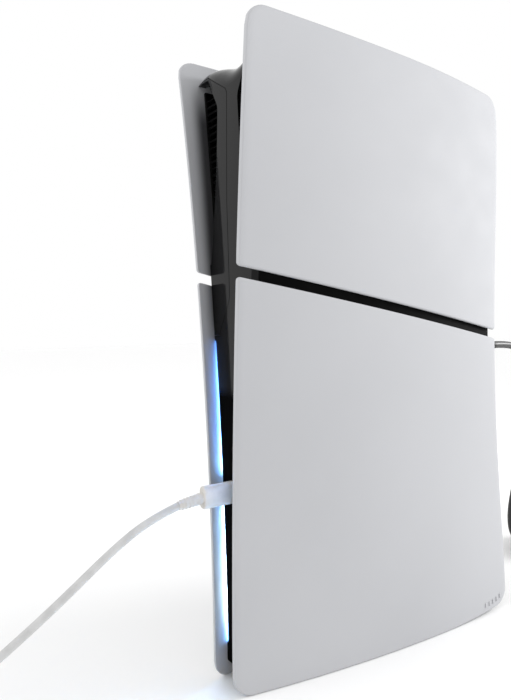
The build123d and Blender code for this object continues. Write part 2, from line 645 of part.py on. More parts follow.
# ---------------------------------------------------------------- cords and their plugs
def cord_tube(name, points, diameter):
    """Tube along straight runs that tangent arcs join, each arc as large as its two runs allow."""
    runs = [Vector(*b) - Vector(*a) for a, b in zip(points, points[1:])]
    radii = []
    for before, after in zip(runs, runs[1:]):
        half_turn = radians(before.get_angle(after)) / 2
        radii.append(0.45 * min(before.length, after.length) / tan(half_turn))
    path = FilletPolyline(*points, radius=radii)
    start = Plane(origin=path @ 0, z_dir=path % 0)
    tube = sweep(start * Circle(diameter / 2), path=path)
    expected = pi * diameter ** 2 / 4 * path.length
    print(name, "radii", [round(radius) for radius in radii], "runs", [round(run.length) for run in runs])
    print(name, "length", round(path.length, 1), "volume", round(tube.volume), "expected", round(expected))
    return tube


def coil(x, y, mean_radius, width, height, diameter):
    """Outer shape of a wound and tied cord that lies on the floor."""
    section = Pos(mean_radius, height / 2) * RectangleRounded(width, height, diameter / 2 - 0.1)
    return Pos(x, y, 0) * revolve(Plane.XZ * section, Axis.Z)


def usb_plug_body(y, z):
    """Overmould of a small round-ended plug that stands on edge, between two ends in Y."""
    body = slab_y(Pos(0, z) * RectangleRounded(6.5, 12.4, 2.9), y)
    rear_edges = body.faces().sort_by(Axis.Y)[0].edges()
    return fillet(rear_edges, 1.2)


def ribbed_relief(length, wide, narrow, ribs):
    """Tapered strain relief along +Z with raised ribs, starting on the origin."""
    relief = Pos(0, 0, length / 2) * Cone(wide, narrow, length)
    pitch = length / (ribs + 1)
    for i in range(ribs):
        rib = wide + (narrow - wide) * (i + 1) / (ribs + 1) + 0.35
        relief += Pos(0, 0, pitch * (i + 1)) * Cylinder(rib, pitch * 0.45)
    return relief


def aimed(shape, start, end):
    """Shape made along +Z from the origin, turned to run from start towards end."""
    return Plane(origin=start, z_dir=Vector(*end) - Vector(*start)) * shape


PLUG_Z = USB_PORT_Z[0]
PLUG_Y = (-117.5, BODY_FRONT - 1.5)
USB_ROUTE = (
    (0, -131.5, 108.6), (0.1, -146, 104.9), (0.4, -165, 95.4), (0.3, -198, 71.4), (-0.6, -232, 49.4),
    (-3.5, -266, 29.3), (-7.5, -294, 13.6), (-11, -315, 3.6), (-12.2, -331, 2.05), (-12, -343, 2.05),
)
pieces["usb_plug"] = usb_plug_body(PLUG_Y, PLUG_Z)
pieces["usb_plug_shell"] = usb_c_shell(PLUG_Z, (PLUG_Y[1], PLUG_Y[1] + USB_C_REACH), USB_C_SHELL, USB_C_WALL)
relief_start = (0, PLUG_Y[0] + 0.4, PLUG_Z)
relief_length = (Vector(*USB_ROUTE[0]) - Vector(*relief_start)).length
usb_relief = ribbed_relief(relief_length, *USB_RELIEF_RADII, 6)
pieces["usb_strain_relief"] = aimed(usb_relief, relief_start, USB_ROUTE[0])
pieces["usb_cord"] = cord_tube("usb_cord", USB_ROUTE, USB_CORD_D)
USB_COIL_X = 10.0
USB_COIL_Y = -345.0
USB_COIL_RADIUS = 22.0
USB_COIL_SIZE = 3 * USB_CORD_D
usb_coil = coil(USB_COIL_X, USB_COIL_Y, USB_COIL_RADIUS, USB_COIL_SIZE, USB_COIL_SIZE, USB_CORD_D)
pieces["usb_cord_coil"] = usb_coil
far_body = usb_plug_body((-19, 0), 0)
far_body += usb_c_shell(0, (0, USB_C_REACH), USB_C_SHELL, USB_C_WALL)
far_body += aimed(ribbed_relief(14, *USB_RELIEF_RADII, 6), (0, -18.6, 0), (0, -40, 0))
far_plug_z = USB_COIL_SIZE + 3.25
pieces["usb_far_plug"] = Pos(-6, -360.5, far_plug_z) * Rot(0, 0, 180) * Rot(0, 90, 0) * far_body

LAN_PLUG_Y = (PORT_FACE - 17.0, PORT_FACE + 5.5)
BOOT_END = 142.0
LAN_ROUTE = (
    (0, BOOT_END, 184.5), (0.1, 160, 184.6), (-1, 180, 180), (-3, 194, 164), (-5, 199, 141), (-8, 199.5, 112),
    (-12, 198, 84), (-17, 197, 58), (-21, 198, 38), (-24, 203, 21), (-26.5, 213, 9.5), (-27.3, 227, 3.5),
    (-27.2, 241, 2.8),
)


def lan_plug(y, z):
    """Eight-way plug with its latch, between two ends in Y and centred on z."""
    body = block((-4.0, 4.0), y, (z - 5.85, z + 5.85))
    for i in range(8):
        contact_z = z - 3.57 + 1.02 * i
        body -= block((3.2, 5), (y[0] - 1, y[0] + 6), (contact_z - 0.25, contact_z + 0.25))
    latch = block((-5.2, -4.0), (y[0] + 1, y[0] + 14), (z - 1.6, z + 1.6))
    return body + latch


def lan_boot(y, z):
    """Rubber boot that tapers from the plug to the cord."""
    waist_y = y[0] + 22
    start_plane = Plane(origin=(0, y[0], z), x_dir=(1, 0, 0), z_dir=(0, 1, 0))
    waist_plane = Plane(origin=(0, waist_y, z), x_dir=(1, 0, 0), z_dir=(0, 1, 0))
    start = start_plane * RectangleRounded(8.8, 12.0, 1.5)
    waist = waist_plane * RectangleRounded(8.2, 9.6, 2.5)
    boot = loft([start, waist], ruled=True)
    relief = ribbed_relief(y[1] - waist_y, 4.0, 3.1, 6)
    return boot + aimed(relief, (0, waist_y, z), (0, y[1] + 1, z))


pieces["network_plug"] = lan_plug(LAN_PLUG_Y, LAN_Z)
pieces["network_boot"] = lan_boot((LAN_PLUG_Y[1], BOOT_END), LAN_Z)
pieces["network_cord"] = cord_tube("network_cord", LAN_ROUTE, LAN_CORD_D)
LAN_COIL_X = 1.5
LAN_COIL_Y = 240.0
LAN_COIL_RADIUS = 28.5
LAN_COIL_SIZE = 3 * LAN_CORD_D
lan_coil = coil(LAN_COIL_X, LAN_COIL_Y, LAN_COIL_RADIUS, LAN_COIL_SIZE, LAN_COIL_SIZE, LAN_CORD_D)
pieces["network_cord_coil"] = lan_coil
far_lan = lan_plug((0, 21.5), 0) + lan_boot((21.5, 62), 0)
pieces["network_far_plug"] = Pos(-18, 272, LAN_COIL_SIZE + 4.4) * Rot(0, 0, 180) * Rot(0, 90, 0) * far_lan

for name, shape in pieces.items():
    export_step(shape, f"parts/{name}.step")
print(len(pieces), "nodes")
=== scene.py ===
"""Looks of the upright game console: covers, gloss front, glow, plugs and cords, in a plain studio."""

import bpy
import bmesh
import json
import math
from mathutils import Matrix, Vector


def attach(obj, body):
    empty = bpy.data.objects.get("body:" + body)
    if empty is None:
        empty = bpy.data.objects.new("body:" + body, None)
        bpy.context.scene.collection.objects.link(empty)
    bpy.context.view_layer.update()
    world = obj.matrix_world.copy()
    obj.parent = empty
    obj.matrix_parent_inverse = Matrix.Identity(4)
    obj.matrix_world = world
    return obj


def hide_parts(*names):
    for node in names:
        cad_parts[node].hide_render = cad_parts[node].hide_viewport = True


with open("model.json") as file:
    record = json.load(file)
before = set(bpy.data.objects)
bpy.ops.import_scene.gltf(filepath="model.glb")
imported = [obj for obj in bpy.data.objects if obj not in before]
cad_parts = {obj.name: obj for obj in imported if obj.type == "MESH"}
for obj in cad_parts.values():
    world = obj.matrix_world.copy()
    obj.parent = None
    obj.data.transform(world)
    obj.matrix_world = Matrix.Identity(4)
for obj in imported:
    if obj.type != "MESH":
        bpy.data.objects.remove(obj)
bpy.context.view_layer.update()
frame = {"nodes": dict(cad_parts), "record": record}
MM = 0.001

# ---------------------------------------------------------------- the console's own sizes, in millimetres
HEIGHT = 358.0
DEPTH = 216.0
FRONT = -DEPTH / 2
# bottom, middle and top of the covers: a row each for their front, middle and rear
HALF_WIDTHS = ((11.2, 17.7, 38.5), (28.9, 32.5, 37.5), (33.3, 29.8, 29.5))
COVER_WALL = 2.5
COVER_CORNER = 11.0
STRIPE_CORNER = 2.0
STRIPE_FRONT_Z = 233.8
STRIPE_REAR_Z = 195.0
STRIPE_GAP = 5.7


def blend(low, middle, high, t):
    """Quadratic through three values at t = 0, 0.5 and 1."""
    return low * (1 - t) * (1 - 2 * t) + 4 * middle * t * (1 - t) + high * t * (2 * t - 1)


def half_width(y, z):
    """Half the console's width over the covers at a place on its side."""
    rows = [blend(*row, z / HEIGHT) for row in HALF_WIDTHS]
    return blend(*rows, (y - FRONT) / DEPTH)


# ---------------------------------------------------------------- camera, at the photograph's viewing angle
CAMERA_PLACE = Vector((0.2758, -0.2658, 0.2024))
CAMERA_AZIMUTH = math.radians(56.19)
CAMERA_ELEVATION = math.radians(2.37)
CAMERA_ROLL = math.radians(-0.97)
CAMERA_LENS = 30.12
SENSOR = 36.0


def make_camera():
    """Camera that looks back along its azimuth and elevation, rolled a little."""
    data = bpy.data.cameras.new("camera")
    data.sensor_width = SENSOR
    data.lens = CAMERA_LENS
    data.clip_start = 0.01
    data.clip_end = 20.0
    camera = bpy.data.objects.new("camera", data)
    bpy.context.scene.collection.objects.link(camera)
    level = math.cos(CAMERA_ELEVATION)
    across, along = math.sin(CAMERA_AZIMUTH), math.cos(CAMERA_AZIMUTH)
    back = Vector((across * level, -along * level, math.sin(CAMERA_ELEVATION)))
    right = Vector((0, 0, 1)).cross(back).normalized()
    up = back.cross(right)
    cos_roll, sin_roll = math.cos(CAMERA_ROLL), math.sin(CAMERA_ROLL)
    rolled_right = right * cos_roll + up * sin_roll
    rolled_up = up * cos_roll - right * sin_roll
    turn = Matrix((rolled_right, rolled_up, back)).transposed()
    camera.matrix_world = Matrix.Translation(CAMERA_PLACE) @ turn.to_4x4()
    bpy.context.scene.camera = camera


make_camera()


# ---------------------------------------------------------------- materials
def shader(name, colour, roughness, **sockets):
    """Material with a Principled shader whose plain values are set on its sockets."""
    material = bpy.data.materials.new(name)
    material.use_nodes = True
    tree = material.node_tree
    principled = tree.nodes["Principled BSDF"]
    principled.inputs["Base Color"].default_value = (*colour, 1)
    principled.inputs["Roughness"].default_value = roughness
    for socket, value in sockets.items():
        principled.inputs[socket.replace("_", " ")].default_value = value
    return material


def texture(material, kind, scale, **settings):
    """Procedural texture on object coordinates, in metres."""
    tree = material.node_tree
    place = tree.nodes.get("Place") or tree.nodes.new("ShaderNodeTexCoord")
    place.name = "Place"
    node = tree.nodes.new(kind)
    node.inputs["Scale"].default_value = scale
    for name, value in settings.items():
        node.inputs[name.replace("_", " ")].default_value = value
    tree.links.new(place.outputs["Object"], node.inputs["Vector"])
    return node


def add_bump(material, node, distance, strength):
    """Height texture into the shader's normal, after any bump that is there already."""
    tree = material.node_tree
    principled = tree.nodes["Principled BSDF"]
    bump = tree.nodes.new("ShaderNodeBump")
    bump.inputs["Distance"].default_value = distance
    bump.inputs["Strength"].default_value = strength
    tree.links.new(node.outputs[0], bump.inputs["Height"])
    if principled.inputs["Normal"].links:
        tree.links.new(principled.inputs["Normal"].links[0].from_socket, bump.inputs["Normal"])
    tree.links.new(bump.outputs["Normal"], principled.inputs["Normal"])


def vary(material, socket, node, low, high, at=(0.35, 0.65)):
    """Texture value into a shader socket through a ramp between two colours or two numbers."""
    tree = material.node_tree
    ramp = tree.nodes.new("ShaderNodeValToRGB")
    ramp.color_ramp.elements[0].position = at[0]
    ramp.color_ramp.elements[1].position = at[1]
    for element, value in zip(ramp.color_ramp.elements, (low, high)):
        element.color = (*value, 1) if hasattr(value, "__len__") else (value, value, value, 1)
    tree.links.new(node.outputs[0], ramp.inputs["Fac"])
    tree.links.new(ramp.outputs["Color"], tree.nodes["Principled BSDF"].inputs[socket])


def arithmetic(tree, operation, *values):
    """Maths node whose inputs are sockets or numbers; returns its output."""
    node = tree.nodes.new("ShaderNodeMath")
    node.operation = operation
    for socket, value in zip(node.inputs, values):
        if hasattr(value, "is_output"):
            tree.links.new(value, socket)
        else:
            socket.default_value = value
    return node.outputs[0]


def ramp_between(tree, value, start, end):
    """0 before start, 1 after end, smooth between them."""
    node = tree.nodes.new("ShaderNodeMapRange")
    node.interpolation_type = "SMOOTHSTEP"
    node.inputs["From Min"].default_value = start
    node.inputs["From Max"].default_value = end
    tree.links.new(value, node.inputs["Value"])
    return node.outputs["Result"]


def band(tree, value, rise, fall):
    """1 between two edges, fading in over rise and out over fall."""
    risen = ramp_between(tree, value, *rise)
    not_fallen = arithmetic(tree, "SUBTRACT", 1.0, ramp_between(tree, value, *fall))
    return arithmetic(tree, "MULTIPLY", risen, not_fallen)


# the painted shade's dark band fades in and out over these places on the object, in metres
SHADE_FRONT = (-0.1035, -0.0945)
SHADE_REAR = (-0.086, -0.08)
SHADE_BOTTOM = (0.17, 0.215)
SHADE_TOP = (0.32, 0.352)
SHADE_COLOUR = (0.04, 0.04, 0.043, 1)


def painted_shade_inside(material):
    """Painted shade: a dark soft band on the upper covers' inner faces, where they pass the front corner of
    the body.
    """
    tree = material.node_tree
    place = tree.nodes.new("ShaderNodeSeparateXYZ")
    tree.links.new(tree.nodes["Place"].outputs["Object"], place.inputs["Vector"])
    geometry = tree.nodes.new("ShaderNodeNewGeometry")
    facing = tree.nodes.new("ShaderNodeSeparateXYZ")
    tree.links.new(geometry.outputs["True Normal"], facing.inputs["Vector"])
    outward = arithmetic(tree, "MULTIPLY", facing.outputs["X"], place.outputs["X"])
    inside = arithmetic(tree, "LESS_THAN", outward, 0.0)
    depth = band(tree, place.outputs["Y"], SHADE_FRONT, SHADE_REAR)
    height = band(tree, place.outputs["Z"], SHADE_BOTTOM, SHADE_TOP)
    share = arithmetic(tree, "MULTIPLY", inside, arithmetic(tree, "MULTIPLY", depth, height))
    mix = tree.nodes.new("ShaderNodeMix")
    mix.data_type = "RGBA"
    colours = [socket for socket in mix.inputs if socket.type == "RGBA"]
    colours[1].default_value = SHADE_COLOUR
    result = next(socket for socket in mix.outputs if socket.type == "RGBA")
    principled = tree.nodes["Principled BSDF"]
    tree.links.new(principled.inputs["Base Color"].links[0].from_socket, colours[0])
    tree.links.new(share, mix.inputs[0])
    tree.links.new(result, principled.inputs["Base Color"])


def cover_plastic():
    """Fine matte texture of the white covers, with a little unevenness in colour and sheen."""
    material = shader("cover_plastic", (0.45, 0.455, 0.475), 0.7, Specular_IOR_Level=0.3)
    cloud = texture(material, "ShaderNodeTexNoise", 9.0, Detail=3.0)
    vary(material, "Base Color", cloud, (0.445, 0.45, 0.468), (0.465, 0.47, 0.488))
    sheen = texture(material, "ShaderNodeTexNoise", 35.0, Detail=2.0)
    vary(material, "Roughness", sheen, 0.66, 0.74)
    add_bump(material, texture(material, "ShaderNodeTexNoise", 2600.0, Detail=2.0), 0.00002, 0.6)
    # painted shade on the inner faces, where the body's front corner shades them
    painted_shade_inside(material)
    return material


GLOSS_FADE = (0.162, 0.17)
GLOSS_SPECULAR = 0.18


def gloss_plastic():
    """Piano-black plastic with faint ripples in its polish, less shiny below the height where it fades."""
    material = shader("gloss_plastic", (0.003, 0.003, 0.0032), 0.06, Specular_IOR_Level=0.2)
    cloud = texture(material, "ShaderNodeTexNoise", 40.0, Detail=4.0)
    vary(material, "Roughness", cloud, 0.05, 0.1)
    add_bump(material, texture(material, "ShaderNodeTexNoise", 60.0, Detail=1.0), 0.0002, 0.08)
    tree = material.node_tree
    place = tree.nodes.new("ShaderNodeSeparateXYZ")
    tree.links.new(tree.nodes["Place"].outputs["Object"], place.inputs["Vector"])
    shine = ramp_between(tree, place.outputs["Z"], *GLOSS_FADE)
    shine = arithmetic(tree, "MULTIPLY", shine, GLOSS_SPECULAR)
    tree.links.new(shine, tree.nodes["Principled BSDF"].inputs["Specular IOR Level"])
    return material


def dark_plastic(name, grey, roughness, grain, shine=0.2):
    """Moulded black plastic with a fine spark-eroded grain."""
    material = shader(name, (grey, grey, grey * 1.05), roughness, Specular_IOR_Level=shine)
    cloud = texture(material, "ShaderNodeTexNoise", 120.0, Detail=3.0)
    vary(material, "Base Color", cloud, (grey * 0.8,) * 3, (grey * 1.25,) * 3)
    add_bump(material, texture(material, "ShaderNodeTexNoise", grain, Detail=2.0), 0.00004, 0.5)
    return material


BRUSHING_STRETCH = (1, 1, 40)


def metal(name, colour, roughness):
    """Metal with fine brushing drawn out along one axis."""
    material = shader(name, colour, roughness, Metallic=1.0)
    tree = material.node_tree
    lines = texture(material, "ShaderNodeTexNoise", 90.0, Detail=5.0)
    mapping = tree.nodes.new("ShaderNodeMapping")
    mapping.inputs["Scale"].default_value = BRUSHING_STRETCH
    tree.links.new(tree.nodes["Place"].outputs["Object"], mapping.inputs["Vector"])
    tree.links.new(mapping.outputs["Vector"], lines.inputs["Vector"])
    vary(material, "Roughness", lines, max(roughness - 0.1, 0.05), roughness + 0.12)
    add_bump(material, lines, 0.00002, 0.3)
    return material


def circuit_board():
    """Green-black solder mask with a pattern of tracks under it."""
    material = shader("circuit_board", (0.012, 0.06, 0.035), 0.35)
    tracks = texture(material, "ShaderNodeTexVoronoi", 260.0)
    vary(material, "Base Color", tracks, (0.02, 0.1, 0.055), (0.008, 0.045, 0.026), at=(0.1, 0.3))
    add_bump(material, tracks, 0.00005, 0.4)
    return material


def jacket(name, colour, roughness):
    """Smooth cord jacket with a faint drawn texture and handling marks."""
    material = shader(name, colour, roughness)
    marks = texture(material, "ShaderNodeTexNoise", 180.0, Detail=4.0)
    darker = tuple(value * 0.88 for value in colour)
    vary(material, "Base Color", marks, darker, colour)
    add_bump(material, texture(material, "ShaderNodeTexNoise", 900.0, Detail=2.0), 0.00004, 0.4)
    return material


GLOW_REACH = 0.2
# shares of the glow's reach up the strip, each with its colour; it is dim behind the plug
GLOW_STOPS = (
    (0.0, (0.0, 0.0, 0.0)),
    (0.11, (6.0, 16.0, 36.0)),
    (0.25, (42.0, 60.0, 74.0)),
    (0.42, (22.0, 42.0, 68.0)),
    (0.49, (19.0, 41.0, 76.0)),
    (0.52, (0.5, 1.0, 1.5)),
    (0.58, (0.5, 1.0, 1.5)),
    (0.61, (14.0, 34.0, 68.0)),
    (0.72, (5.0, 17.0, 50.0)),
    (1.0, (0.7, 2.2, 7.0)),
)


def guide_light():
    """Frosted strip lit from inside: blue and dim at the top, white and brightest near the bottom."""
    material = shader("guide_light", (0.5, 0.65, 0.9), 0.5, Emission_Strength=1.0)
    tree = material.node_tree
    place = tree.nodes.new("ShaderNodeTexCoord")
    split = tree.nodes.new("ShaderNodeSeparateXYZ")
    reach = tree.nodes.new("ShaderNodeMapRange")
    reach.inputs["From Max"].default_value = GLOW_REACH
    ramp = tree.nodes.new("ShaderNodeValToRGB")
    ramp.color_ramp.elements[0].position = GLOW_STOPS[0][0]
    ramp.color_ramp.elements[0].color = (*GLOW_STOPS[0][1], 1)
    ramp.color_ramp.elements[1].position = GLOW_STOPS[-1][0]
    ramp.color_ramp.elements[1].color = (*GLOW_STOPS[-1][1], 1)
    for position, colour in GLOW_STOPS[1:-1]:
        ramp.color_ramp.elements.new(position).color = (*colour, 1)
    tree.links.new(place.outputs["Object"], split.inputs["Vector"])
    tree.links.new(split.outputs["Z"], reach.inputs["Value"])
    tree.links.new(reach.outputs["Result"], ramp.inputs["Fac"])
    tree.links.new(ramp.outputs["Color"], tree.nodes["Principled BSDF"].inputs["Emission Color"])
    return material


materials = {
    "cover_white": cover_plastic(),
    "gloss_black": gloss_plastic(),
    "shell_black": dark_plastic("shell_plastic", 0.0025, 0.3, 1800.0, 0.03),
    "light_guide": guide_light(),
    "zinc_steel": metal("zinc_steel", (0.6, 0.6, 0.6), 0.32),
    "frame_metal": dark_plastic("frame_coat", 0.03, 0.45, 1200.0),
    "stand_brass": metal("stand_brass", (0.78, 0.58, 0.28), 0.25),
    "fan_black": dark_plastic("fan_plastic", 0.02, 0.4, 1500.0),
    "circuit_board": circuit_board(),
    "chip_black": dark_plastic("chip_resin", 0.02, 0.5, 3000.0),
    "copper": metal("copper", (0.8, 0.36, 0.22), 0.28),
    "fin_aluminium": metal("fin_aluminium", (0.8, 0.8, 0.82), 0.35),
    "port_metal": metal("port_metal", (0.72, 0.72, 0.7), 0.22),
    "port_plastic": dark_plastic("port_plastic", 0.015, 0.45, 2500.0),
    "plug_white": jacket("plug_white", (0.64, 0.615, 0.58), 0.42),
    "cord_white": jacket("cord_white", (0.52, 0.52, 0.52), 0.5),
    "plug_black": dark_plastic("plug_black", 0.012, 0.4, 2200.0),
    "cord_black": jacket("cord_black", (0.012, 0.012, 0.012), 0.4),
}
for part in frame["record"]["subparts"]:
    node = frame["nodes"][part["node"]]
    node.data.materials.clear()
    node.data.materials.append(materials[part["material_slot"]])


# ---------------------------------------------------------------- mesh helpers
def add_piece(name, mesh, slot, body, replaced):
    """Smooth object that rides on a body, with its slot's material, standing for the CAD node it replaces."""
    mesh.polygons.foreach_set("use_smooth", [True] * len(mesh.polygons))
    mesh.materials.append(materials[slot])
    piece = bpy.data.objects.new(name, mesh)
    bpy.context.scene.collection.objects.link(piece)
    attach(piece, body)
    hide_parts(replaced)


# ---------------------------------------------------------------- cords
USB_ROUTE = (
    (0, -131.5, 108.6), (0.1, -146, 104.9), (0.4, -165, 95.4), (0.3, -198, 71.4), (-0.6, -232, 49.4),
    (-3.5, -266, 29.3), (-7.5, -294, 13.6), (-11, -315, 3.6), (-12.2, -331, 2.05),
)
LAN_ROUTE = (
    (0, 142, 184.5), (0.1, 160, 184.6), (-1, 180, 180), (-3, 194, 164), (-5, 199, 141), (-8, 199.5, 112),
    (-12, 198, 84), (-17, 197, 58), (-21, 198, 38), (-24, 203, 21), (-26.5, 213, 9.5), (-27.3, 227, 3.5),
)
TURN_POINTS = 14
COIL_LAYERS = 3
COIL_LIFT = 0.05


def coil_points(x, y, mean_radius, diameter, turns, spin, order):
    """Points of a tied coil: each turn has its own place, and eases over to the next in its last third."""
    places = []
    for layer in range(COIL_LAYERS):
        columns = (1, 0, -1) if layer % 2 == 0 else (-1, 0, 1)
        layer_height = (layer + 0.5) * diameter + COIL_LIFT
        places += [(mean_radius + column * diameter, layer_height) for column in columns]
    places = [places[i] for i in order]
    points = []
    steps = round(turns * TURN_POINTS)
    stretch = 1 / math.cos(math.pi / TURN_POINTS) ** 0.5
    for i in range(steps + 1):
        turn = i / TURN_POINTS
        index = min(int(turn), len(places) - 1)
        following = min(index + 1, len(places) - 1)
        ease = min(max((turn - index) * 3 - 2, 0), 1)
        radius = places[index][0] + (places[following][0] - places[index][0]) * ease
        height = places[index][1] + (places[following][1] - places[index][1]) * ease
        angle = math.pi + spin * 2 * math.pi * turn
        reach = radius * stretch
        points.append((x + reach * math.cos(angle), y + reach * math.sin(angle), height))
    return points


def cord_curve(name, points, diameter, slot):
    """Round cord along a smooth curve with the points as its control points."""
    data = bpy.data.curves.new(name, "CURVE")
    data.dimensions = "3D"
    data.bevel_depth = diameter / 2 * MM
    data.bevel_resolution = 6
    data.resolution_u = 8
    data.use_fill_caps = True
    spline = data.splines.new("NURBS")
    spline.points.add(len(points) - 1)
    for target, point in zip(spline.points, points):
        target.co = (*[value * MM for value in point], 1)
    spline.order_u = 3
    spline.use_endpoint_u = True
    data.materials.append(materials[slot])
    piece = bpy.data.objects.new(name, data)
    bpy.context.scene.collection.objects.link(piece)
    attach(piece, "console")
    return piece


USB_DIAMETER = 4.0
USB_END = ((-6.5, -322.5, 13.6), (-6.0, -329.5, 15.2))
usb_coil = coil_points(x=10, y=-345, mean_radius=22, diameter=USB_DIAMETER, turns=8.62, spin=1,
                       order=range(9))
usb_cord = cord_curve("usb_cord_line", [*USB_ROUTE, *usb_coil, *USB_END], USB_DIAMETER, "cord_white")
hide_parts("usb_cord", "usb_cord_coil")

LAN_DIAMETER = 5.5
LAN_END = ((-19.0, 205.0, 18.8), (-18.0, 212.0, 20.9))
LAN_ORDER = (0, 1, 3, 4, 5, 6, 7, 8)
lan_coil = coil_points(x=1.5, y=240, mean_radius=28.5, diameter=LAN_DIAMETER, turns=6.62, spin=-1,
                       order=LAN_ORDER)
lan_cord = cord_curve("network_cord_line", [*LAN_ROUTE, *lan_coil, *LAN_END], LAN_DIAMETER, "cord_black")
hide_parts("network_cord", "network_cord_coil")


# ---------------------------------------------------------------- covers
# the front edge's places at the bottom, middle and top, and the rear edge's at five heights
FRONT_EDGE = (-106.2, -105.7, -108.0)
REAR_EDGE = ((0.0, 108.0), (60.0, 105.5), (120.0, 101.0), (200.0, 98.8), (HEIGHT, 100.0))
TOP_FALL = 3.6
BOTTOM_RISE = 4.0
BOTTOM_LEVEL_TO = 40.0
# radii of the edges round the outer and inner faces
OUTER_EDGE = 1.1
INNER_EDGE = 0.6
# the mesh: its columns and rows, and the scale on which the rows are spread
SIDE_COLUMNS = 44
SIDE_ROWS = 26
COLUMN_CROWDING = 0.35
GRID_LENGTH = 100.0
NOMINAL_TALL = 225.0
SETTLE_PASSES = 4
EDGE_STEPS = 4
CORNER_STEPS = range(0, 90, 15)
LEAST_ROUND = 0.05
# clip tongues: overlap with the plate, reach behind its outer face, section and taper
TONGUE_OVERLAP = 0.4
TONGUE_REACH = 9.0
TONGUE_WIDE = 8.0
TONGUE_THICK = 1.8
TONGUE_TAPER = 0.8
# places (y, z) of the tongues and marks on a side
UPPER_TONGUES = ((-68, 332), (64, 326), (-78, 246), (72, 232))
LOWER_TONGUES = ((-58, 30), (64, 26), (-74, 186), (66, 184))
MARKS = ((84, 7.2), (88, 7.4), (92, 7.8), (96, 8.5), (100, 9.6))
MARK_SIZE = (0.9, 0.9, 3.0)


def front_y(z):
    """Front edge of the covers, before its corners are rounded."""
    return blend(*FRONT_EDGE, z / HEIGHT)


def rear_y(z):
    """Rear edge of the covers: it flares towards the bottom."""
    total = 0.0
    for height, place in REAR_EDGE:
        share = 1.0
        for other, _ in REAR_EDGE:
            if other != height:
                share *= (z - other) / (height - other)
        total += share * place
    return total


def top_z(y):
    """Top edge: level to the middle, then falling a little to the rear."""
    return HEIGHT - TOP_FALL * (max(y, 0.0) / 100.0) ** 2


def bottom_z(y):
    """Bottom edge: level from the front to past the middle, then rising a little."""
    return BOTTOM_RISE * (max(y - BOTTOM_LEVEL_TO, 0.0) / (-FRONT - BOTTOM_LEVEL_TO)) ** 2


def stripe_z(y):
    """Height of the upper covers' lower edge."""
    return STRIPE_FRONT_Z + (STRIPE_REAR_Z - STRIPE_FRONT_Z) * (y - FRONT) / DEPTH


def under_stripe(y):
    """Height of the lower covers' upper edge."""
    return stripe_z(y) - STRIPE_GAP


def corner_rows(low_radius, high_radius):
    """Distances up a grid's length, close together where its two corners are rounded."""
    low = [low_radius * (1 - math.cos(math.radians(step))) for step in CORNER_STEPS]
    high = [GRID_LENGTH - high_radius * (1 - math.cos(math.radians(step))) for step in CORNER_STEPS]
    start, end = max(low_radius, 1.0), GRID_LENGTH - max(high_radius, 1.0)
    middle = [start + (end - start) * i / SIDE_ROWS for i in range(SIDE_ROWS + 1)]
    return low + middle + high[::-1]


def corner_inset(distance, radius):
    """How far a rounded corner pulls in the outline at a distance from the edge it rounds into."""
    if distance >= radius:
        return 0.0
    return radius - math.sqrt(max(radius ** 2 - (radius - distance) ** 2, 0.0))


def cover_grid(low_edge, high_edge, low_radius, high_radius, inset):
    """Rows of places (y, z) over a cover whose outline is drawn in by inset all round."""
    rounded = [GRID_LENGTH * radius / NOMINAL_TALL for radius in (low_radius, high_radius)]
    shares = [distance / GRID_LENGTH for distance in corner_rows(*rounded)]
    low_round = max(low_radius - inset, LEAST_ROUND)
    high_round = max(high_radius - inset, LEAST_ROUND)
    rows = []
    for share in shares:
        middle_low = low_edge(0) + inset
        middle_high = high_edge(0) - inset
        tall = middle_high - middle_low
        pulled = max(corner_inset(share * tall, low_round), corner_inset((1 - share) * tall, high_round))
        row = []
        for i in range(SIDE_COLUMNS + 1):
            crowded = (1 - math.cos(math.pi * i / SIDE_COLUMNS)) / 2
            across = COLUMN_CROWDING * crowded + (1 - COLUMN_CROWDING) * i / SIDE_COLUMNS
            z = middle_low
            for _ in range(SETTLE_PASSES):
                y_low = front_y(z) + inset + pulled
                y_high = rear_y(z) - inset - pulled
                y = y_low + (y_high - y_low) * across
                z = (low_edge(y) + inset) * (1 - share) + (high_edge(y) - inset) * share
            row.append((y, z))
        rows.append(row)
    return rows


def ring(rows):
    """Border places of a grid, in order round it, as (row, column)."""
    last_row, last_column = len(rows) - 1, len(rows[0]) - 1
    places = [(0, i) for i in range(last_column)]
    places += [(j, last_column) for j in range(last_row)]
    places += [(last_row, i) for i in range(last_column, 0, -1)]
    places += [(j, 0) for j in range(last_row, 0, -1)]
    return places


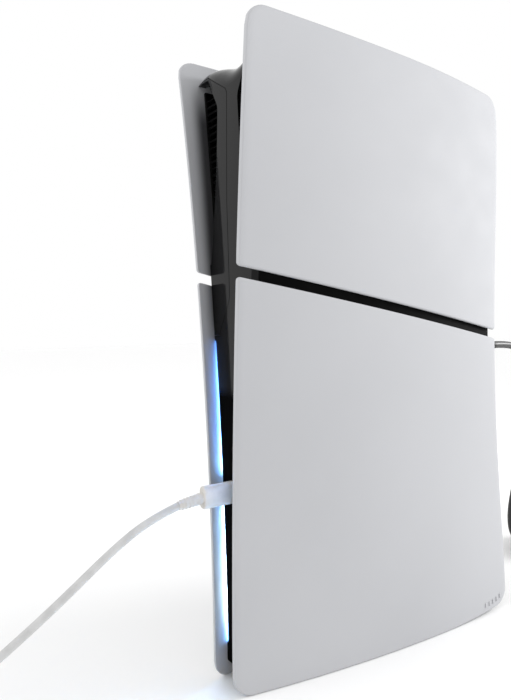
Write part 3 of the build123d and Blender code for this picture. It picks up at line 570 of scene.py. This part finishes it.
def cover_mesh(name, low_edge, high_edge, low_radius, high_radius, side, tongues, marks=()):
    """Curved plate with a round outer edge, the clip tongues behind it and small raised marks on it."""
    bm = bmesh.new()

    def grid_at(inset, depth):
        rows = cover_grid(low_edge, high_edge, low_radius, high_radius, inset)
        return rows, [[(side * (half_width(y, z) - depth), y, z) for y, z in row] for row in rows]

    rows, outer_places = grid_at(OUTER_EDGE, 0.0)
    outer = [[bm.verts.new(place) for place in row] for row in outer_places]
    inner = [[bm.verts.new(place) for place in row] for row in grid_at(INNER_EDGE, COVER_WALL)[1]]
    for grid in (outer, inner):
        for j in range(len(grid) - 1):
            for i in range(len(grid[0]) - 1):
                bm.faces.new((grid[j][i], grid[j][i + 1], grid[j + 1][i + 1], grid[j + 1][i]))
    border = ring(rows)
    loops = [[outer[j][i] for j, i in border]]
    profile = []
    for step in range(1, EDGE_STEPS + 1):
        angle = math.pi / 2 * step / EDGE_STEPS
        profile.append((OUTER_EDGE * (1 - math.sin(angle)), OUTER_EDGE * (1 - math.cos(angle))))
    for step in range(EDGE_STEPS):
        angle = math.pi / 2 * step / EDGE_STEPS
        profile.append((INNER_EDGE * (1 - math.cos(angle)), COVER_WALL - INNER_EDGE * (1 - math.sin(angle))))
    for inset, depth in profile:
        places = grid_at(inset, depth)[1]
        loops.append([bm.verts.new(places[j][i]) for j, i in border])
    loops.append([inner[j][i] for j, i in border])
    for near, far in zip(loops, loops[1:]):
        for i in range(len(near)):
            following = (i + 1) % len(near)
            bm.faces.new((near[i], near[following], far[following], far[i]))
    for y, z in tongues:
        root = half_width(y, z) - COVER_WALL + TONGUE_OVERLAP
        tip = half_width(y, z) - TONGUE_REACH
        tongue = bmesh.ops.create_cube(bm, size=1.0)["verts"]
        for vert in tongue:
            end, shrink = (tip, TONGUE_TAPER) if vert.co.x < 0 else (root, 1.0)
            wide, thick = vert.co.y * TONGUE_WIDE * shrink, vert.co.z * TONGUE_THICK * shrink
            vert.co = Vector((side * end, y + wide, z + thick))
    for y, z in marks:
        for vert in bmesh.ops.create_cube(bm, size=1.0)["verts"]:
            raised, wide, tall = (size * share for size, share in zip(MARK_SIZE, vert.co))
            vert.co = Vector((side * (half_width(y, z) + raised), y + wide, z + tall))
    bmesh.ops.scale(bm, vec=(MM, MM, MM), verts=bm.verts)
    bmesh.ops.recalc_face_normals(bm, faces=bm.faces)
    mesh = bpy.data.meshes.new(name)
    bm.to_mesh(mesh)
    bm.free()
    return mesh


for side_name, side in (("right", 1), ("left", -1)):
    upper_name = f"upper_cover_{side_name}"
    upper = cover_mesh(upper_name, stripe_z, top_z, STRIPE_CORNER, COVER_CORNER, side, UPPER_TONGUES)
    add_piece(upper_name, upper, "cover_white", f"upper_{side_name}_cover", f"cover_upper_{side_name}")
    lower_name = f"lower_cover_{side_name}"
    side_marks = MARKS if side > 0 else ()
    lower = cover_mesh(lower_name, bottom_z, under_stripe, COVER_CORNER, STRIPE_CORNER, side,
                       LOWER_TONGUES, side_marks)
    add_piece(lower_name, lower, "cover_white", f"lower_{side_name}_cover", f"cover_lower_{side_name}")


# ---------------------------------------------------------------- studio
FLOOR_SIZE = 6.0
# the floor's painted shadow: greyest near the console, fading out between these distances from it
FLOOR_NEAR = 0.12
FLOOR_FAR = 0.7
FLOOR_SHADOW_GREY = 0.85
FLOOR_RISE = 0.14


def floor_paper():
    """Matte paper with a fine tooth and a painted shadow: a little greyer under the console than farther out.
    """
    material = shader("floor_paper", (0.93, 0.93, 0.93), 0.7)
    tree = material.node_tree
    tooth = texture(material, "ShaderNodeTexNoise", 700.0, Detail=2.0)
    add_bump(material, tooth, 0.00003, 0.3)
    distance = tree.nodes.new("ShaderNodeVectorMath")
    distance.operation = "LENGTH"
    tree.links.new(tree.nodes["Place"].outputs["Object"], distance.inputs[0])
    # painted shadow: the paper is greyer near the console and lighter farther out
    grey = ramp_between(tree, distance.outputs["Value"], FLOOR_NEAR, FLOOR_FAR)
    grey = arithmetic(tree, "MULTIPLY_ADD", grey, FLOOR_RISE, FLOOR_SHADOW_GREY)
    tree.links.new(grey, tree.nodes["Principled BSDF"].inputs["Base Color"])
    return material


def make_stage():
    """Floor, white world and the plain view transform."""
    floor = bpy.data.meshes.new("floor")
    corners = [(x * FLOOR_SIZE, y * FLOOR_SIZE, 0) for x, y in ((-1, -1), (1, -1), (1, 1), (-1, 1))]
    floor.from_pydata(corners, [], [(0, 1, 2, 3)])
    floor.materials.append(floor_paper())
    plane = bpy.data.objects.new("floor", floor)
    bpy.context.scene.collection.objects.link(plane)
    world = bpy.data.worlds.new("studio")
    bpy.context.scene.world = world
    world.use_nodes = True
    background = world.node_tree.nodes["Background"]
    background.inputs["Color"].default_value = (1.0, 1.0, 1.0, 1)
    background.inputs["Strength"].default_value = 1.0
    bpy.context.scene.view_settings.view_transform = "Standard"


def area_light(name, place, target, size, power):
    """Square white light that faces a target."""
    data = bpy.data.lights.new(name, "AREA")
    data.shape = "SQUARE"
    data.size = size
    data.energy = power
    light = bpy.data.objects.new(name, data)
    bpy.context.scene.collection.objects.link(light)
    light.location = place
    light.rotation_euler = (Vector(target) - Vector(place)).to_track_quat("-Z", "Y").to_euler()


make_stage()
area_light("key", (0.4, 0.85, 0.45), (0.02, 0, 0.2), 0.35, 7.0)
area_light("front_fill", (-0.1, -0.9, 1.0), (0, -0.1, 0.3), 0.5, 3.0)
